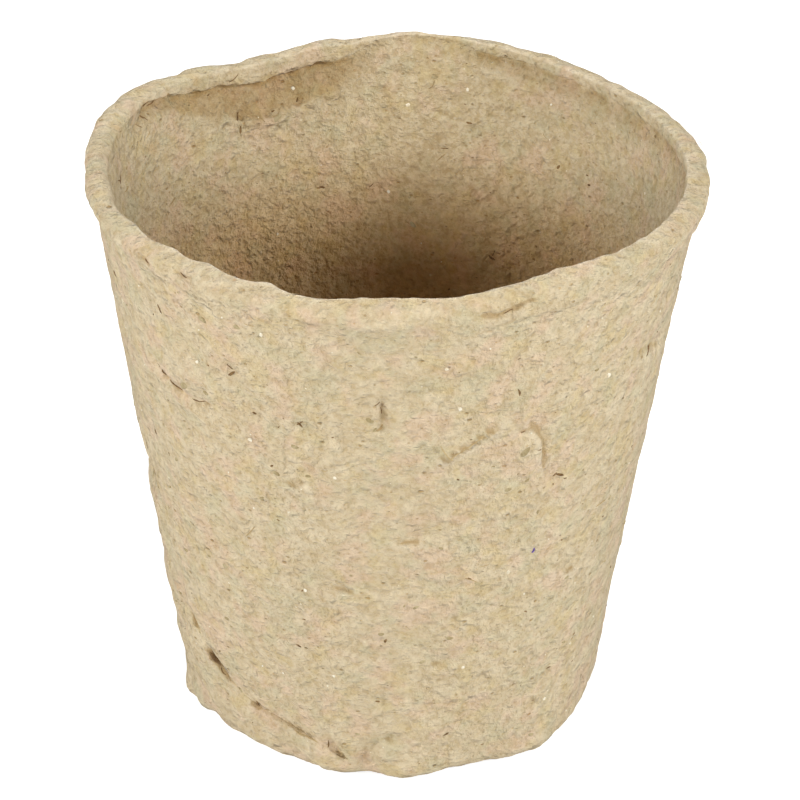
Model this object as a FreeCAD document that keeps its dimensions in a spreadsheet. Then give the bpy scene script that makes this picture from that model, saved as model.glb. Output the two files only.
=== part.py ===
# Peat pot: one round, tapered pot of pressed peat pulp, and the coarse matter that the pulp holds.
# Millimetres. The origin is the middle of the foot, on the surface that the pot stands on, with +Z up.
# The roll of pulp is on the left and in front: azimuth 0 is +X, to the right, and 270 is -Y, to the front.
import FreeCAD, Part
import math
import os

# Driving sizes: name, value in millimetres, what it measures
driving_sizes = [
    ("rim_diameter", 80, "outside the lip"),
    ("pot_height", 78, "from the foot to the mean top of the lip"),
    ("foot_diameter", 56, "outside the wall, carried on down to the foot"),
    ("wall_thickness", 2, "wall, measured level"),
    ("floor_thickness", 2.2, "bottom of the pot"),
    ("floor_lift", 1, "gap under the middle of the bottom"),
    ("foot_ring", 6, "width of the flat ring that the pot stands on"),
    ("foot_rounding", 2.5, "outside corner between the wall and the bottom"),
    ("cavity_rounding", 2, "inside corner between the wall and the bottom"),
    ("pan_height", 6.5, "from the foot to the line where the wall begins"),
    ("drain_bore", 9, "hole through the middle of the bottom"),
    ("lip_height", 4, "lip, from its seat on the wall to its mean top"),
    ("lip_flare", 1.7, "how far the lip stands out from the wall, where it does so most"),
    ("lip_inset", 0.7, "how far the lip stands in over the cavity, where it does so most"),
    ("lip_crown", 1.5, "height of the rounded top of the lip"),
    ("roll_radius", 3, "roll of pulp round the foot, where it is thickest"),
    ("roll_sink", 2, "how far the middle of the thickest roll lies inside the wall"),
    ("chip_length", 2.2, "bark chip"),
    ("chip_width", 1, "bark chip"),
    ("chip_depth", 0.9, "bark chip, with the half that is sunk in the pulp"),
    ("crumb_radius", 1.6, "peat crumb at its root"),
    ("crumb_depth", 0.9, "peat crumb, with the half that is sunk in the pulp"),
    ("fibre_length", 5, "straw fibre"),
    ("fibre_radius", 0.25, "straw fibre"),
    ("grain_size", 0.8, "grit grain, with the half that is sunk in the pulp"),
    ("overrun", 1, "how far a cutting shape runs past what it cuts"),
]

# Shares of the rim's radius, the foot's radius and the lip's height at equal steps round the pot,
# from the right side through the back, the left side and the front
rim_radius_shares = [
    1.003, 1.0, 0.995, 0.996, 1.01, 0.967, 0.973, 1.013, 0.998, 1.018, 1.005, 1.0, 0.997, 0.975, 0.97, 1.0,
]
foot_radius_shares = [
    1.015, 1.0, 0.995, 1.005, 1.0, 0.99, 1.0, 1.01, 0.99, 0.965, 0.94, 0.945, 0.96, 0.97, 1.0, 1.0,
]
lip_rise_shares = [
    0.08, 0.0, -0.02, 0.0, 0.04, -0.18, -0.1, 0.0, 0.0, 0.02, 0.0, -0.03, 0.02, 0.1, 0.16, 0.1,
]
# Shares of the lip's inset and of its flare at the same steps: the lip is thin and flush at the back,
# stands out most on the left, and runs softly into the wall in front
lip_inset_shares = [
    0.5, 0.6, 0.8, 0.7, 0.0, 0.4, 0.9, 1.0, 1.0, 0.8, 0.4, 0.2, 0.2, 0.3, 0.4, 0.4,
]
lip_flare_shares = [
    0.8, 0.8, 0.8, 0.8, 0.6, 0.7, 0.9, 1.0, 1.0, 1.0, 0.75, 0.5, 0.5, 0.5, 0.6, 0.7,
]
# How much of the flare is left halfway down the outside of the lip
lip_bulge_share = 0.7

# The roll of pulp, from its top on the left side down and round the left front of the foot:
# azimuth in degrees, share of the pot's height, share of the roll's radius
roll_path_shares = [
    (200, 0.52, 0.3),
    (201, 0.45, 0.6),
    (203, 0.36, 0.85),
    (206, 0.275, 1.0),
    (209, 0.2, 1.0),
    (214, 0.135, 1.0),
    (222, 0.087, 1.0),
    (233, 0.067, 1.0),
    (245, 0.057, 0.9),
    (256, 0.049, 0.6),
    (264, 0.044, 0.3),
]

# Coarse matter in the pulp: azimuth in degrees, share of the pot's height, turn on the surface in degrees,
# and share of the full size of its kind
bark_outside_shares = [
    (203, 0.88, 20, 0.8), (221, 0.89, 60, 1.0), (238, 0.82, 75, 1.0), (252, 0.75, 10, 0.8),
    (209, 0.6, 80, 0.7), (295, 0.81, 35, 0.8), (309, 0.61, 70, 1.0), (333, 0.77, 50, 1.0),
    (341, 0.3, 15, 0.8), (316, 0.18, 40, 0.9), (268, 0.18, 65, 0.7), (248, 0.28, 30, 0.8),
    (20, 0.7, 25, 1.0), (47, 0.34, 70, 0.8), (75, 0.55, 10, 0.9), (103, 0.78, 50, 0.8),
    (131, 0.42, 85, 1.0), (158, 0.66, 35, 0.8), (172, 0.2, 60, 0.9),
]
bark_inside_shares = [
    (108, 0.74, 20, 0.8), (128, 0.88, 70, 1.0), (74, 0.86, 45, 0.8), (66, 0.62, 80, 0.9), (160, 0.5, 15, 0.8),
    (255, 0.7, 55, 0.9), (320, 0.4, 30, 0.8), (10, 0.58, 65, 1.0),
]
crumbs_outside_shares = [
    (233, 0.91, 0, 0.8), (266, 0.78, 0, 0.7), (298, 0.69, 0, 1.0), (226, 0.76, 0, 1.0), (285, 0.32, 0, 0.7),
    (5, 0.46, 0, 0.8), (60, 0.76, 0, 1.0), (118, 0.24, 0, 0.8), (146, 0.85, 0, 0.7),
]
crumbs_inside_shares = [
    (119, 0.89, 0, 0.8), (86, 0.66, 0, 0.7), (200, 0.6, 0, 0.9), (345, 0.75, 0, 0.7),
]
straw_outside_shares = [
    (281, 0.71, 55, 1.0), (289, 0.44, 95, 0.7), (238, 0.5, 10, 0.8), (325, 0.5, 70, 0.9),
    (33, 0.5, 30, 1.0), (90, 0.36, 75, 0.8), (140, 0.6, 15, 0.9),
]
straw_inside_shares = [
    (80, 0.79, 2, 0.6), (69, 0.52, 8, 0.8), (169, 0.89, 50, 0.6), (150, 0.8, 60, 0.7), (270, 0.55, 40, 0.9),
]
grit_outside_shares = [
    (246, 0.92, 10, 1.0), (230, 0.82, 35, 0.8), (241, 0.7, 60, 1.0), (280, 0.88, 20, 0.8), (283, 0.8, 45, 1.0),
    (259, 0.66, 70, 0.9), (251, 0.41, 5, 1.0), (257, 0.23, 50, 0.8), (298, 0.44, 80, 1.0), (289, 0.25, 30, 0.8),
    (315, 0.12, 15, 0.9), (318, 0.78, 65, 1.0), (30, 0.86, 40, 0.8), (66, 0.2, 25, 1.0), (98, 0.62, 75, 0.9),
    (124, 0.7, 55, 0.8), (150, 0.3, 0, 1.0), (183, 0.75, 85, 0.9),
]
grit_inside_shares = [
    (114, 0.93, 20, 0.9), (88, 0.88, 60, 1.0), (75, 0.92, 35, 0.8), (92, 0.72, 10, 1.0), (300, 0.82, 70, 0.9),
    (210, 0.46, 45, 0.8), (35, 0.66, 25, 1.0),
]

doc = FreeCAD.newDocument("peat_pot")
sheet = doc.addObject("Spreadsheet::Sheet", "Sizes")
for row, (alias, value, meaning) in enumerate(driving_sizes, 1):
    sheet.set(f"A{row}", alias)
    sheet.set(f"B{row}", str(value))
    sheet.set(f"C{row}", meaning)
    sheet.setAlias(f"B{row}", alias)
doc.recompute()


def size(alias):
    """One driving size, read from the sheet."""
    return float(sheet.get(alias))


seat_height = size("pot_height") - size("lip_height")
rim_radius = size("rim_diameter") / 2
foot_radius = size("foot_diameter") / 2
floor_top = size("floor_lift") + size("floor_thickness")
wall_lean = math.atan2(rim_radius - size("lip_flare") - foot_radius, seat_height)
upward = FreeCAD.Vector(0, 0, 1)

# Every closed curve is made of this many arcs
quarters = 4


def outward(azimuth):
    """Level direction away from the axis."""
    angle = math.radians(azimuth)
    return FreeCAD.Vector(math.cos(angle), math.sin(angle), 0)


def station_azimuth(station):
    """Azimuth of one of the equal steps round the pot."""
    return 360 * station / len(rim_radius_shares)


def wall_radius(station, height):
    """Outside of the wall, on the straight line from the foot to the seat of the lip."""
    low = foot_radius * foot_radius_shares[station]
    high = rim_radius * rim_radius_shares[station] - size("lip_flare") * lip_flare_shares[station]
    return low + (high - low) * height / seat_height


def add_shape(name, shape):
    """A document object that holds a shape made from the sheet's sizes."""
    holder = doc.addObject("Part::Feature", name)
    holder.Shape = shape
    holder.Placement = FreeCAD.Placement()
    return holder


def closed_outline(points):
    """Closed curve through points, one at each step round the pot, made of arcs."""
    curve = Part.BSplineCurve()
    curve.interpolate(points, PeriodicFlag=True)
    start = curve.FirstParameter
    step = (curve.LastParameter - start) / quarters
    return Part.Wire([
        curve.toShape(start + step * quarter, start + step * (quarter + 1))
        for quarter in range(quarters)
    ])


def wall_outline(name, height, inset):
    """Closed curve round the pot at one height, set in from the outside of the wall."""
    points = []
    for station in range(len(rim_radius_shares)):
        radius = wall_radius(station, height) - inset
        points.append(outward(station_azimuth(station)) * radius + upward * height)
    return add_shape(name, closed_outline(points))


def filled_taper(name, low, high, rounding):
    """Solid between two outlines, with its lowest edge rounded."""
    taper = doc.addObject("Part::Loft", name + "_taper")
    taper.Sections = [low, high]
    taper.Solid = True
    taper.Ruled = True
    doc.recompute()
    edges = taper.Shape.Edges
    from_the_foot = sorted(range(len(edges)), key=lambda index: edges[index].BoundBox.ZMax)
    rounded = doc.addObject("Part::Fillet", name)
    rounded.Base = taper
    rounded.Edges = [(index + 1, rounding, rounding) for index in from_the_foot[:quarters]]
    doc.recompute()
    return rounded


def boolean(kind, name, base, tool):
    """Part::Cut or Part::Common of two objects."""
    result = doc.addObject(kind, name)
    result.Base = base
    result.Tool = tool
    return result


# The moulding, filled, and the cavity that is taken out of it
outside = filled_taper(
    "outside",
    wall_outline("foot_outline", 0, 0),
    wall_outline("seat_outline", seat_height, 0),
    size("foot_rounding"),
)
cavity = filled_taper(
    "cavity",
    wall_outline("cavity_low_outline", floor_top, size("wall_thickness")),
    wall_outline("cavity_top_outline", seat_height + size("overrun"), size("wall_thickness")),
    size("cavity_rounding"),
)
shell = boolean("Part::Cut", "shell", outside, cavity)

# Side wall: the shell above the line where the pan ends
pan_zone = doc.addObject("Part::Cylinder", "pan_zone")
pan_zone.setExpression("Radius", "Sizes.rim_diameter")
pan_zone.setExpression("Height", "Sizes.pan_height")
side_wall = boolean("Part::Cut", "side_wall", shell, pan_zone)

# Base pan: the shell below that line, lifted in the middle and bored for the drain
pan_blank = boolean("Part::Common", "pan_blank", shell, pan_zone)
lift_hollow = doc.addObject("Part::Cone", "lift_hollow")
ring_inside = "Sizes.foot_diameter / 2 - Sizes.foot_rounding - Sizes.foot_ring"
lift_hollow.setExpression("Radius1", ring_inside)
lift_hollow.setExpression("Radius2", ring_inside + " - Sizes.floor_lift")
lift_hollow.setExpression("Height", "Sizes.floor_lift")
drain_hole = doc.addObject("Part::Cylinder", "drain_hole")
drain_hole.setExpression("Radius", "Sizes.drain_bore / 2")
drain_hole.setExpression("Height", "Sizes.floor_lift + Sizes.floor_thickness + 2 * Sizes.overrun")
drain_hole.setExpression("Placement.Base.z", "-Sizes.overrun")
pan_tools = doc.addObject("Part::Fuse", "pan_tools")
pan_tools.Base = lift_hollow
pan_tools.Tool = drain_hole
base_pan = boolean("Part::Cut", "base_pan", pan_blank, pan_tools)


def lip_points(station):
    """Points over the lip at one step round the pot, from the seat inside over the crown to the seat outside."""
    outer_seat = wall_radius(station, seat_height)
    inner_seat = outer_seat - size("wall_thickness")
    inner = inner_seat - size("lip_inset") * lip_inset_shares[station]
    outer = outer_seat + size("lip_flare") * lip_flare_shares[station]
    top = size("pot_height") + size("lip_height") * lip_rise_shares[station]
    shoulder = top - size("lip_crown")
    profile = [
        (inner, seat_height),
        (inner, (seat_height + shoulder) / 2),
        (inner, shoulder),
        ((inner + outer) / 2, top),
        (outer, shoulder),
        (outer_seat + (outer - outer_seat) * lip_bulge_share, (seat_height + shoulder) / 2),
        (outer_seat, seat_height),
    ]
    return [outward(station_azimuth(station)) * radius + upward * height for radius, height in profile]


# Rim lip: a skin drawn over closed curves, from the inside over the crown, and a flat seat under it
lip_stations = [lip_points(station) for station in range(len(rim_radius_shares))]
lip_curves = [closed_outline(list(points)) for points in zip(*lip_stations)]
lip_skin = Part.makeLoft(lip_curves, False, False)
seat_edges = [edge for edge in lip_skin.Edges if edge.BoundBox.ZLength < size("lip_crown") / 2
              and edge.BoundBox.ZMax < seat_height + size("lip_crown") / 2]
seat_wires = [Part.Wire(loop) for loop in Part.sortEdges(seat_edges)]
lip_seat = Part.Face(sorted(seat_wires, key=lambda wire: -wire.Length), "Part::FaceMakerBullseye")
lip_shell = Part.makeShell(lip_skin.Faces + [lip_seat])
rim_lip = add_shape("rim_lip", Part.makeSolid(lip_shell))


def surface_point(solid, azimuth, height):
    """Where a level line from the axis leaves a filled solid."""
    start = upward * height
    ray = Part.makeLine(start, start + outward(azimuth) * size("rim_diameter"))
    return start + outward(azimuth) * solid.Shape.common(ray).Length


def round_section(centre, along, facing, radius):
    """Circle across a path, made of arcs that begin on the side that faces away from the axis."""
    axis = FreeCAD.Vector(along).normalize()
    first = (facing - axis * facing.dot(axis)).normalize()
    second = axis.cross(first)

    def place(part_turn):
        angle = 2 * math.pi * part_turn / quarters
        return centre + first * (radius * math.cos(angle)) + second * (radius * math.sin(angle))

    return Part.Wire([
        Part.Arc(place(quarter), place(quarter + 0.5), place(quarter + 1)).toShape()
        for quarter in range(quarters)
    ])


# Foot roll: a tube of changing thickness along the wall, less what lies inside the wall
roll_centres = []
for azimuth, height_share, bulk_share in roll_path_shares:
    on_wall = surface_point(outside, azimuth, size("pot_height") * height_share)
    roll_centres.append(on_wall - outward(azimuth) * size("roll_sink") * bulk_share)
roll_sections = []
for index, (azimuth, height_share, bulk_share) in enumerate(roll_path_shares):
    before = roll_centres[max(index - 1, 0)]
    after = roll_centres[min(index + 1, len(roll_centres) - 1)]
    roll_sections.append(
        round_section(roll_centres[index], after - before, outward(azimuth), size("roll_radius") * bulk_share)
    )
roll_tube = add_shape("roll_tube", Part.makeLoft(roll_sections, True, False))
foot_roll = boolean("Part::Cut", "foot_roll", roll_tube, outside)


def surface_frame(solid, azimuth, height_share, turn, facing):
    """Placement on the wall: local Z leaves the surface, local X lies level, then both turn about Z.

    Facing is 1 on the outside of the wall and -1 inside the cavity.
    """
    origin = surface_point(solid, azimuth, size("pot_height") * height_share)
    leaving = (outward(azimuth) * math.cos(wall_lean) - upward * math.sin(wall_lean)) * facing
    level = upward.cross(leaving).normalize()
    rotation = FreeCAD.Rotation(level, leaving.cross(level), leaving, "ZXY")
    return FreeCAD.Placement(origin, rotation.multiply(FreeCAD.Rotation(upward, turn)))


def local(frame, offset, rotation=FreeCAD.Rotation()):
    """Placement given in the axes of a frame on the wall."""
    return frame.multiply(FreeCAD.Placement(offset, rotation))


def add_chip(name, frame, share):
    """Bark chip: a flat stick, half sunk."""
    chip = doc.addObject("Part::Box", name)
    chip.setExpression("Length", f"Sizes.chip_length * {share}")
    chip.setExpression("Width", f"Sizes.chip_width * {share}")
    chip.setExpression("Height", f"Sizes.chip_depth * {share}")
    middle = FreeCAD.Vector(size("chip_length"), size("chip_width"), size("chip_depth")) * (share / 2)
    chip.Placement = local(frame, -middle)
    return chip


def add_crumb(name, frame, share):
    """Peat crumb: a low mound, half sunk."""
    crumb = doc.addObject("Part::Cone", name)
    crumb.setExpression("Radius1", f"Sizes.crumb_radius * {share}")
    crumb.setExpression("Radius2", f"Sizes.crumb_radius * {share} / 2")
    crumb.setExpression("Height", f"Sizes.crumb_depth * {share}")
    crumb.Placement = local(frame, upward * (-size("crumb_depth") * share / 2))
    return crumb


def add_fibre(name, frame, share):
    """Straw fibre: a thin round stick that lies along the surface, half sunk."""
    fibre = doc.addObject("Part::Cylinder", name)
    fibre.setExpression("Radius", "Sizes.fibre_radius")
    fibre.setExpression("Height", f"Sizes.fibre_length * {share}")
    lying = FreeCAD.Rotation(FreeCAD.Vector(0, 1, 0), 90)
    fibre.Placement = local(frame, FreeCAD.Vector(-size("fibre_length") * share / 2, 0, 0), lying)
    return fibre


def add_grain(name, frame, share):
    """Grit grain: a broken crystal, as long as it is wide and deep, half sunk."""
    grain = doc.addObject("Part::Box", name)
    for side in ("Length", "Width", "Height"):
        grain.setExpression(side, f"Sizes.grain_size * {share}")
    middle = FreeCAD.Vector(size("grain_size"), size("grain_size"), size("grain_size")) * (share / 2)
    grain.Placement = local(frame, -middle)
    return grain


def add_bits(name, add_bit, outside_shares, inside_shares):
    """One kind of coarse matter: what stands proud of the wall outside, and inside the cavity."""
    outer_bits = doc.addObject("Part::Compound", name + "_outer_bits")
    outer_bits.Links = [
        add_bit(f"{name}_outer_{index}", surface_frame(outside, azimuth, height_share, turn, 1), share)
        for index, (azimuth, height_share, turn, share) in enumerate(outside_shares)
    ]
    inner_bits = doc.addObject("Part::Compound", name + "_inner_bits")
    inner_bits.Links = [
        add_bit(f"{name}_inner_{index}", surface_frame(cavity, azimuth, height_share, turn, -1), share)
        for index, (azimuth, height_share, turn, share) in enumerate(inside_shares)
    ]
    group = doc.addObject("Part::Compound", name)
    group.Links = [
        boolean("Part::Cut", name + "_outer_proud", outer_bits, outside),
        boolean("Part::Common", name + "_inner_proud", inner_bits, cavity),
    ]
    return group


bark_chips = add_bits("bark_chips", add_chip, bark_outside_shares, bark_inside_shares)
peat_crumbs = add_bits("peat_crumbs", add_crumb, crumbs_outside_shares, crumbs_inside_shares)
straw_fibres = add_bits("straw_fibres", add_fibre, straw_outside_shares, straw_inside_shares)
grit_grains = add_bits("grit_grains", add_grain, grit_outside_shares, grit_inside_shares)

sub_parts = [side_wall, base_pan, rim_lip, foot_roll, bark_chips, peat_crumbs, straw_fibres, grit_grains]

doc.recompute()
failed = [item.Label for item in doc.Objects if "Invalid" in item.State or "Error" in item.State]
if failed:
    raise RuntimeError("objects that failed: " + ", ".join(failed))
for item in sub_parts:
    if item.Shape.isNull() or not item.Shape.isValid():
        raise RuntimeError("no valid shape: " + item.Label)

os.makedirs("parts", exist_ok=True)
for item in sub_parts:
    item.Shape.exportStep(f"parts/{item.Label}.step")
    print(item.Label, len(item.Shape.Solids), "solids", round(item.Shape.Volume, 2), "mm3")
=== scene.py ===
"""Peat pot: the look of one pressed peat pot on a pale floor.

Shapes are worked out in millimetres round the pot's axis and written to meshes in metres. Azimuth 0 is +X,
to the right, 90 is the back and 270 is the front, where the camera is.
"""
import math
import random

import bmesh
import bpy
import numpy as np
from mathutils import Matrix, Vector, noise
from mathutils.bvhtree import BVHTree


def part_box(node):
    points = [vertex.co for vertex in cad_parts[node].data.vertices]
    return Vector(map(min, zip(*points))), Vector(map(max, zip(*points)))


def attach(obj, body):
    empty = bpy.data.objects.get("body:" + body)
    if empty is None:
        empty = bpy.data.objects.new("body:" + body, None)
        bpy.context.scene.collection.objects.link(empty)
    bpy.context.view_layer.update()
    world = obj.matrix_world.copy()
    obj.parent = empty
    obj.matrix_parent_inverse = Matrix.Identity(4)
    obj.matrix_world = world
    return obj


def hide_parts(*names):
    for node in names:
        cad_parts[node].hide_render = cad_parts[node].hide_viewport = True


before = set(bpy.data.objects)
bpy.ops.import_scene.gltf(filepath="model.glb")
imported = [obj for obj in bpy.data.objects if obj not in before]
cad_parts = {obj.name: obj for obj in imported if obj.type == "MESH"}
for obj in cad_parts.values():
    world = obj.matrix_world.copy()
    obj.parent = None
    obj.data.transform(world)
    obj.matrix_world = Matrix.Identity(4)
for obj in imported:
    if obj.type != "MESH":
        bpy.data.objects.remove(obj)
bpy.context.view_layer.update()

mm = 0.001

# Driving dimensions of the moulding, in millimetres
seat_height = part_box("rim_lip")[0].z / mm
wall_thickness = 2
floor_lift = 1
floor_top = 3.2
foot_rounding = 2.5
cavity_rounding = 2
ring_width = 6
drain_radius = 4.5
# The wall without its waves: radius at the foot, and how much wider it is at the seat of the lip
mean_foot_radius = 28
wall_flare = 10.6
# Height over which the foot's wavy edge fades out, and how the wall widens up to a lip that has no step
foot_fade = 9
widening_share, widening_height, widening_reach = 0.62, 78.5, 6
# Highest place for a strand, and how strongly long bits bend with the wall
highest_strand = 78.6
bit_bend = 75
# The print of the mould's mesh inside: wires round the pot, and the space between wires up the wall
mesh_columns = 224.0
mesh_spacing = 0.95
# Vertices nearer than this are one
merge_distance = 0.002 * mm

# Steps round the pot, and rows up the wall
round_steps = 412
outside_rows = 100
lip_span_rows = 4
inside_row_counts = (28, 24, 10)
# Heights where the rows change: where the lip starts outside, and two places inside
outside_end = 72.0
inside_ends = (62, 36)

# Outside of the wall, carried on to the foot, and at the seat of the lip: azimuth and radius
foot_line = {
    0: 28.25, 22: 28.0, 45: 27.9, 68: 28.1, 90: 28.0, 112: 27.8, 135: 28.0, 158: 28.2, 180: 28.0, 202: 27.5,
    225: 26.9, 248: 27.0, 270: 27.3, 292: 27.5, 315: 28.1, 338: 28.05,
}
seat_line = {
    0: 38.45, 22: 38.5, 45: 38.4, 68: 38.6, 90: 39.3, 112: 37.7, 135: 37.7, 158: 38.8, 180: 38.5, 202: 38.9,
    225: 38.8, 248: 38.9, 270: 38.8, 292: 38.3, 315: 37.8, 338: 38.45,
}
# The foot's edge is wavier than the wall above it
foot_edge = {
    0: 28.8, 10: 28.9, 30: 28.2, 50: 27.9, 70: 28.4, 90: 27.8, 110: 28.2, 130: 27.6, 150: 28.3, 170: 27.9,
    190: 27.9, 204: 27.3, 218: 26.7, 232: 26.6, 241: 26.3, 248: 26.5, 254: 27.7, 261: 27.6, 266: 27.1,
    271: 27.7, 277: 28.3, 284: 27.6, 292: 27.0, 299: 27.4, 306: 28.4, 313: 29.2, 322: 28.9, 334: 28.6,
    347: 28.4,
}

# The lip: its widest radius, its inner edge and its top
lip_outer = {
    0: 40.1, 15: 40.1, 30: 39.9, 45: 39.8, 58: 40.3, 66: 40.2, 73: 40.9, 79: 40.1, 86: 40.9, 92: 40.9,
    96: 39.9, 101: 39.5, 107: 39.8, 112: 39.0, 117: 38.6, 122: 38.9, 126: 38.4, 131: 39.4, 136: 39.8,
    140: 39.7, 146: 41.0, 153: 41.4, 160: 41.2, 167: 40.9, 174: 40.3, 183: 39.8, 191: 39.9, 199: 40.0,
    206: 40.2, 216: 40.1, 232: 39.9, 250: 40.2, 265: 39.9, 280: 39.6, 295: 39.3, 310: 39.1, 325: 39.5,
    342: 40.0,
}
lip_inner = {
    0: 37.0, 20: 36.9, 40: 36.7, 58: 36.9, 68: 37.4, 78: 38.3, 90: 38.8, 96: 37.8, 100: 36.7, 107: 36.4,
    112: 35.8, 118: 35.4, 126: 35.2, 131: 35.8, 138: 36.2, 147: 37.1, 158: 37.5, 170: 37.2, 183: 36.9,
    195: 37.0, 205: 37.5, 211: 37.3, 218: 37.8, 223: 37.1, 228: 37.4, 234: 36.7, 241: 37.4, 246: 36.8,
    252: 37.6, 257: 37.6, 262: 37.3, 267: 37.0, 271: 36.8, 276: 37.3, 283: 37.2, 290: 36.9, 298: 36.6,
    304: 36.3, 310: 36.6, 325: 37.0, 342: 37.1,
}
lip_top = {
    0: 78.3, 30: 78.0, 50: 78.1, 62: 78.4, 74: 78.5, 88: 78.45, 97: 78.1, 105: 78.2, 112: 78.0, 120: 77.7,
    127: 77.6, 134: 78.0, 142: 78.2, 150: 78.3, 165: 78.1, 180: 78.0, 205: 78.1, 225: 78.0, 240: 77.9,
    250: 77.7, 257: 77.6, 264: 77.9, 272: 78.1, 282: 78.1, 292: 78.6, 302: 79.0, 310: 79.0, 325: 78.6,
    342: 78.4,
}
# How crisp the lip's inner edge is, and how crisp the step under its outside, from 0 to 1
inner_crispness = {
    0: 0.6, 40: 0.5, 60: 0.6, 75: 0.7, 90: 0.8, 100: 0.5, 130: 0.4, 145: 0.15, 160: 0.0, 195: 0.0, 203: 0.3,
    210: 0.8, 218: 1.0, 270: 1.0, 320: 1.0, 345: 0.8,
}
step_crispness = {
    0: 0.5, 45: 0.6, 90: 0.5, 150: 0.7, 175: 0.9, 185: 1.0, 203: 1.0, 211: 0.5, 217: 0.1, 235: 0.0, 280: 0.0,
    330: 0.0, 345: 0.3,
}
# The pulp folded over inside: how far down it hangs, how far it stands over the wall, and how far below it
# the wall comes back
fold_drop = {
    0: 1.6, 30: 1.6, 55: 1.4, 62: 1.3, 74: 1.1, 79: 0.6, 84: 0.4, 95: 0.4, 98: 1.2, 102: 2.0, 115: 2.5,
    130: 2.4, 140: 2.1, 148: 1.5, 155: 1.1, 170: 1.1, 200: 1.1, 215: 1.2, 320: 1.5,
}
fold_undercut = {
    0: 0.3, 40: 0.35, 60: 0.4, 72: 0.45, 79: 0.1, 84: 0.0, 95: 0.0, 99: 0.4, 104: 0.65, 110: 0.9, 118: 1.15,
    128: 1.15, 140: 0.95, 148: 0.45, 154: 0.0, 180: 0.0, 205: 0.0, 215: 0.2, 320: 0.3,
}
recess_length = {
    0: 2.5, 60: 2.5, 80: 2.0, 95: 2.5, 103: 4.3, 112: 5.2, 120: 5.8, 128: 5.0, 135: 4.2, 145: 2.4, 152: 2.0,
    180: 3.0, 210: 2.5, 320: 2.5,
}
recess_ridge = {
    0: 0.0, 60: 0.1, 85: 0.1, 98: 0.25, 108: 0.5, 135: 0.5, 147: 0.15, 155: 0.0, 200: 0.0,
}

# Creases in the outside of the wall: half width, how far they stand out, and points of azimuth and height
creases = [
    (0.5, -0.75, [
        (215.5, 60.2), (216, 59.6), (217, 58.5), (220, 57.8), (225, 57.3), (228, 57.0), (231, 57.7),
    ]),
    (0.8, 0.5, [(213.6, 60.6), (214.6, 58.6), (217.5, 56.9), (222, 56.0), (226, 55.7)]),
    (1.1, 0.25, [(217, 61.6), (219, 60.6), (222, 59.9), (226, 59.6), (229, 59.8)]),
    (0.65, -0.6, [(268, 63.0), (268.4, 61.2), (268, 59.4)]),
    (0.7, 0.6, [(289.5, 57.8), (286, 56.4), (281, 54.7)]),
    (0.6, -0.5, [(290, 56.8), (286, 55.2), (282, 53.6)]),
    (0.7, -0.7, [(299, 57.4), (302.5, 54.5), (303.5, 51.5), (302, 49.5)]),
    (0.6, -0.45, [(286, 76.0), (291, 76.3), (295, 77.0)]),
    (0.7, 0.45, [(289, 76.8), (286.5, 74.5), (285, 72.5)]),
    (0.7, -0.5, [(330, 60.6), (334, 60.1), (338, 59.2)]),
    (0.7, -0.6, [(255, 6.8), (257, 4.6), (259, 3.2)]),
    (0.7, -0.6, [(263, 2.8), (269, 7.2), (272, 7.8)]),
    (1.8, -0.9, [(170, 35.4), (186, 35.4), (199, 36.8)]),
    (1.5, -0.5, [(170, 5.8), (188, 5.8), (197, 7.6)]),
    (1.2, -0.5, [(170, 1.0), (190, 1.0)]),
    (0.6, -0.6, [(192, 76.0), (195, 75.4), (198, 75.3)]),
    (0.6, -0.7, [(200, 75.2), (204, 75.0), (206, 75.2)]),
    (0.6, -0.5, [(209, 75.0), (212, 74.9)]),
    (0.6, -0.45, [(219, 76.4), (221.5, 76.0)]),
    (0.6, -0.45, [(228, 76.9), (231.5, 76.4)]),
    (0.7, -0.4, [(236, 65.2), (239, 64.4)]),
    (0.6, -0.4, [(250.5, 58.5), (253.5, 58.9)]),
    (0.6, -0.45, [(296, 56.5), (299, 56.8)]),
    (0.6, -0.4, [(306, 47.7), (309, 48.2)]),
]
# Ledges: width of the flap beside the line, how far it stands out below the line, and the line itself
ledges = [
    (2.2, 0.45, [(290.5, 58.3), (286, 56.3), (281, 54.6)]),
    (2.6, 0.12, [(215.5, 60.2), (217, 58.5), (220, 57.8), (225, 57.3), (228, 57.0), (231, 57.7)]),
    (1.8, 0.35, [(303.8, 50.0), (302.5, 54.5), (299, 57.4)]),
    (1.5, 0.2, [(268.3, 59.2), (268.2, 63.4)]),
    (2.0, 0.22, [(296, 77.2), (291, 76.3), (286, 75.9)]),
    (1.8, 0.3, [(339, 59.3), (334, 60.1), (329, 60.6)]),
    (1.6, 0.3, [(276.5, 41.0), (272, 41.6)]),
    (1.6, 0.28, [(252, 49.5), (247.5, 48.6)]),
    (1.4, 0.3, [(285, 20.0), (281.5, 20.6)]),
    (1.6, 0.3, [(262, 33.2), (257.5, 32.6)]),
    (1.6, 0.3, [(318, 30.0), (313, 31.0)]),
]
# The same inside, where the camera sees them at the back
inner_creases = [
    (0.6, -0.6, [(158, 75.0), (155, 75.9), (152, 76.7)]),
    (0.55, -0.5, [(153.6, 76.3), (149, 76.3)]),
    (0.6, 0.35, [(86, 75.0), (90, 74.5), (95, 73.2)]),
    (0.7, -0.7, [(129.2, 70.6), (127.2, 70.3)]),
    (0.6, 0.4, [(127, 69.6), (122, 69.0), (117, 69.3)]),
    (0.7, -0.5, [(114, 70.9), (112.2, 70.5)]),
    (0.6, -0.35, [(77.5, 62.6), (81.5, 62.9)]),
    (0.6, -0.4, [(67, 50.2), (65, 48.0)]),
    (0.6, -0.3, [(110, 57.9), (108, 57.6)]),
    (0.7, -0.3, [(174, 71.8), (168, 71.2)]),
]
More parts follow.
